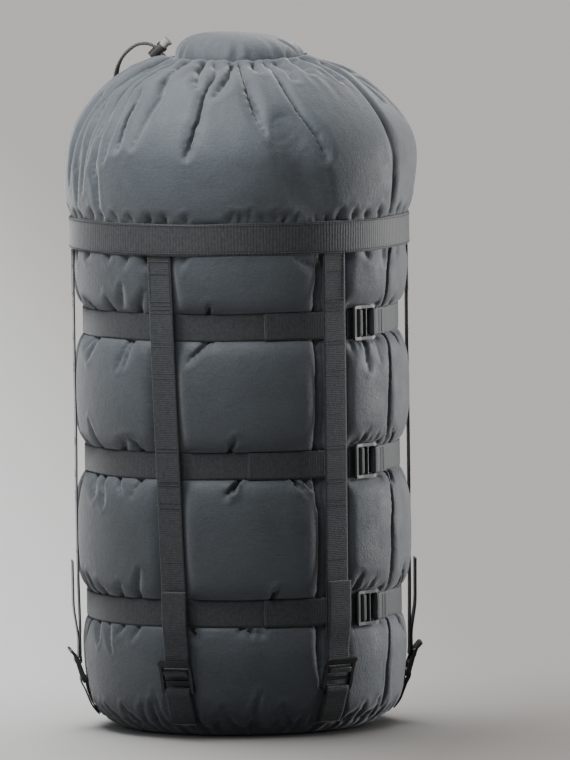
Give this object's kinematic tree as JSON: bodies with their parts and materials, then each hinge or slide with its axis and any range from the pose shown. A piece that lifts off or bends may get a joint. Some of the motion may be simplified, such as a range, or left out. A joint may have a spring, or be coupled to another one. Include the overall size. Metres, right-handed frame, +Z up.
{
  "type": "stuff sack",
  "caption": "Cylindrical compression stuff sack, packed full: drawcord mouth with cord lock and storm flap, and webbing straps that run through ladder locks round and along it",
  "frame": {"origin": "on the ground at the middle of the round base", "axes": "+Z up along the sack's axis, -Y is the front, where the two front straps stand about 30 degrees each side"},
  "size_m": [0.337, 0.3308, 0.66],
  "materials": {
    "pack_cloth": "matte",
    "webbing": "matte",
    "insulation": "matte",
    "cord": "matte",
    "buckle_plastic": "satin",
    "lock_plastic": "satin",
    "plunger_plastic": "satin",
    "spring_steel": "satin"
  },
  "bodies": {
    "sack": {"bottom_panel": "pack_cloth", "collar": "pack_cloth", "drawcord_end_back": "cord", "drawcord_end_front": "cord", "drawcord_in_hem": "cord", "drawcord_knot": "cord", "horizontal_anchor_bottom": "webbing", "horizontal_anchor_middle": "webbing", "horizontal_anchor_top": "webbing", "horizontal_strap_bottom": "webbing", "horizontal_strap_middle": "webbing", "horizontal_strap_top": "webbing", "horizontal_tail_bottom": "webbing", "horizontal_tail_middle": "webbing", "horizontal_tail_top": "webbing", "lower_sack": "pack_cloth", "mouth_hem": "pack_cloth", "packed_sleeping_bag": "insulation", "storm_flap": "pack_cloth", "top_band": "webbing", "vertical_anchor_front_left": "webbing", "vertical_anchor_front_right": "webbing", "vertical_anchor_left": "webbing", "vertical_anchor_rear_left": "webbing", "vertical_anchor_rear_right": "webbing", "vertical_anchor_right": "webbing", "vertical_strap_front_left": "webbing", "vertical_strap_front_right": "webbing", "vertical_strap_left": "webbing", "vertical_strap_rear_left": "webbing", "vertical_strap_rear_right": "webbing", "vertical_strap_right": "webbing"},
    "lock_front_left": {"vertical_lock_front_left": "buckle_plastic", "vertical_tail_front_left": "webbing"},
    "lock_front_right": {"vertical_lock_front_right": "buckle_plastic", "vertical_tail_front_right": "webbing"},
    "lock_right": {"vertical_lock_right": "buckle_plastic", "vertical_tail_right": "webbing"},
    "lock_rear_right": {"vertical_lock_rear_right": "buckle_plastic", "vertical_tail_rear_right": "webbing"},
    "lock_rear_left": {"vertical_lock_rear_left": "buckle_plastic", "vertical_tail_rear_left": "webbing"},
    "lock_left": {"vertical_lock_left": "buckle_plastic", "vertical_tail_left": "webbing"},
    "lock_top_ring": {"horizontal_lock_top": "buckle_plastic", "horizontal_wrap_top": "webbing"},
    "lock_middle_ring": {"horizontal_lock_middle": "buckle_plastic", "horizontal_wrap_middle": "webbing"},
    "lock_bottom_ring": {"horizontal_lock_bottom": "buckle_plastic", "horizontal_wrap_bottom": "webbing"},
    "cord_lock": {"cord_lock_body": "lock_plastic", "cord_lock_spring": "spring_steel"},
    "cord_lock_button": {"cord_lock_plunger": "plunger_plastic"}
  },
  "joints": [
    {"name": "tilt_front_left", "type": "hinge", "parent": "sack", "child": "lock_front_left", "pos_m": [-0.07225, -0.13589, 0.046], "axis": [0.8829, -0.4695, 0], "range_deg": [0, 35], "stiffness_Nm_per_rad": 0.02, "springref_deg": -20.05},
    {"name": "tilt_front_right", "type": "hinge", "parent": "sack", "child": "lock_front_right", "pos_m": [0.07578, -0.13395, 0.046], "axis": [0.8704, 0.4924, 0], "range_deg": [0, 35], "stiffness_Nm_per_rad": 0.02, "springref_deg": -20.05},
    {"name": "tilt_right", "type": "hinge", "parent": "sack", "child": "lock_right", "pos_m": [0.1539, 0, 0.046], "axis": [0, 1, 0], "range_deg": [0, 35], "stiffness_Nm_per_rad": 0.02, "springref_deg": -20.05},
    {"name": "tilt_rear_right", "type": "hinge", "parent": "sack", "child": "lock_rear_right", "pos_m": [0.07695, 0.13328, 0.046], "axis": [-0.866, 0.5, 0], "range_deg": [0, 35], "stiffness_Nm_per_rad": 0.02, "springref_deg": -20.05},
    {"name": "tilt_rear_left", "type": "hinge", "parent": "sack", "child": "lock_rear_left", "pos_m": [-0.07695, 0.13328, 0.046], "axis": [-0.866, -0.5, 0], "range_deg": [0, 35], "stiffness_Nm_per_rad": 0.02, "springref_deg": -20.05},
    {"name": "tilt_left", "type": "hinge", "parent": "sack", "child": "lock_left", "pos_m": [-0.1539, 0, 0.046], "axis": [0, -1, 0], "range_deg": [0, 35], "stiffness_Nm_per_rad": 0.02, "springref_deg": -20.05},
    {"name": "tilt_top_ring", "type": "hinge", "parent": "sack", "child": "lock_top_ring", "pos_m": [0.11756, -0.09691, 0.3885], "axis": [0, 0, 1], "range_deg": [0, 25], "stiffness_Nm_per_rad": 0.02, "springref_deg": -20.05},
    {"name": "tilt_middle_ring", "type": "hinge", "parent": "sack", "child": "lock_middle_ring", "pos_m": [0.11756, -0.09691, 0.258], "axis": [0, 0, 1], "range_deg": [0, 25], "stiffness_Nm_per_rad": 0.02, "springref_deg": -20.05},
    {"name": "tilt_bottom_ring", "type": "hinge", "parent": "sack", "child": "lock_bottom_ring", "pos_m": [0.11756, -0.09691, 0.119], "axis": [0, 0, 1], "range_deg": [0, 25], "stiffness_Nm_per_rad": 0.02, "springref_deg": -20.05},
    {"name": "cord_lock_travel", "type": "hinge", "parent": "sack", "child": "cord_lock", "pos_m": [-0.08604, 0.02963, 0.6282], "axis": [-0.3256, -0.9455, 0], "range_deg": [0, 50]},
    {"name": "cord_lock_press", "type": "slide", "parent": "cord_lock", "child": "cord_lock_button", "axis": [-0.6801, 0.2342, -0.6947], "range_m": [0, 0.0028], "stiffness_N_per_m": 600, "springref_m": -0.003, "deforming": ["cord_lock_spring"]}
  ]
}
